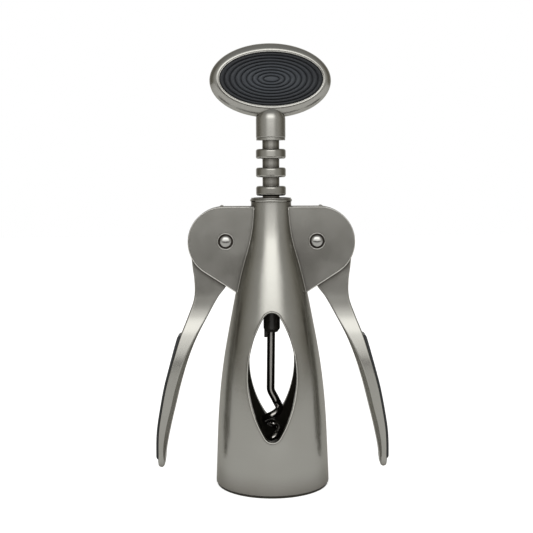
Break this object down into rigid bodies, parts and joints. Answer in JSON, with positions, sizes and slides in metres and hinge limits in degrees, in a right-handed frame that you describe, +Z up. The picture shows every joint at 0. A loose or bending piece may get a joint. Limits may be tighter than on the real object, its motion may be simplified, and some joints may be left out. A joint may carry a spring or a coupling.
{
  "type": "wing corkscrew",
  "caption": "Wing corkscrew: geared levers lift a ringed rack and its screw out of a bell that sits on the bottle; an oval handle turns the screw.",
  "frame": {"origin": "on the screw's axis, at the underside of the foot ring", "axes": "+Z up along the screw, +X across the two levers, -Y towards the front"},
  "size_m": [0.097, 0.0466, 0.1795],
  "materials": {
    "satin_nickel": "satin nickel plate on a casting",
    "polished_steel": "polished",
    "black_plastic": "matt black moulding",
    "black_rubber": "soft black rubber",
    "black_enamel": "gloss black low-friction coating"
  },
  "bodies": {
    "frame": {"bell_frame": "satin_nickel", "bottle_guide": "black_plastic", "left_pivot_pin": "polished_steel", "right_pivot_pin": "polished_steel", "left_front_pin_cap": "polished_steel", "right_front_pin_cap": "polished_steel", "left_rear_pin_cap": "polished_steel", "right_rear_pin_cap": "polished_steel"},
    "bush": {"collar_bush": "black_plastic"},
    "screw": {"rack_rod": "satin_nickel", "neck_washer": "satin_nickel", "handle_frame": "satin_nickel", "front_grip_pad": "black_rubber", "rear_grip_pad": "black_rubber", "worm": "black_enamel", "worm_hub": "black_enamel"},
    "left_lever": {"left_lever": "satin_nickel", "left_lever_grip": "black_rubber"},
    "right_lever": {"right_lever": "satin_nickel", "right_lever_grip": "black_rubber"}
  },
  "joints": [
    {"name": "left_lever_hinge", "type": "hinge", "parent": "frame", "child": "left_lever", "pos_m": [-0.01845, 0, 0.1005], "axis": [0, 1, 0], "range_deg": [0, 120]},
    {"name": "right_lever_hinge", "type": "hinge", "parent": "frame", "child": "right_lever", "pos_m": [0.01845, 0, 0.1005], "axis": [0, -1, 0], "range_deg": [0, 120]},
    {"name": "screw_spin", "type": "hinge", "parent": "frame", "child": "bush", "pos_m": [0, 0, 0.1146], "axis": [0, 0, 1], "continuous": true},
    {"name": "rack_slide", "type": "slide", "parent": "bush", "child": "screw", "axis": [0, 0, 1], "range_m": [-0.02973, 0]}
  ],
  "couplings": [
    {"joint": "right_lever_hinge", "follows": "left_lever_hinge", "ratio": 1},
    {"joint": "rack_slide", "follows": "left_lever_hinge", "m_per_rad": -0.01419}
  ]
}
